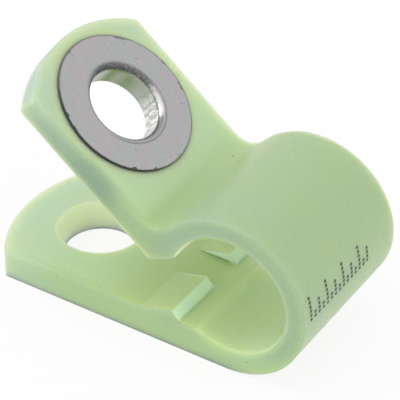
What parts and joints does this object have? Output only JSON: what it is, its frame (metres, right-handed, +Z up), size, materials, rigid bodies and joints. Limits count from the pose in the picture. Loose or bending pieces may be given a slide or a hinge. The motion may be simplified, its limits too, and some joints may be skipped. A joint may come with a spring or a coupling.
{
  "type": "loop clamp",
  "caption": "Nylon P clip for cables and tubes: flat foot with a screw hole, round loop and sprung arm with a metal eyelet.",
  "frame": {"origin": "on the axis of the foot's screw hole, in the flat face that the clamp rests on", "axes": "+X from the foot towards the loop, +Y along the cable through the loop, +Z up out of the mounting surface"},
  "size_m": [0.0275, 0.0126, 0.0183],
  "materials": {
    "nylon": "translucent, softly polished",
    "eyelet_metal": "satin, lightly marked"
  },
  "bodies": {
    "root": {"clamp_strap": "nylon", "eyelet": "eyelet_metal"}
  },
  "joints": []
}
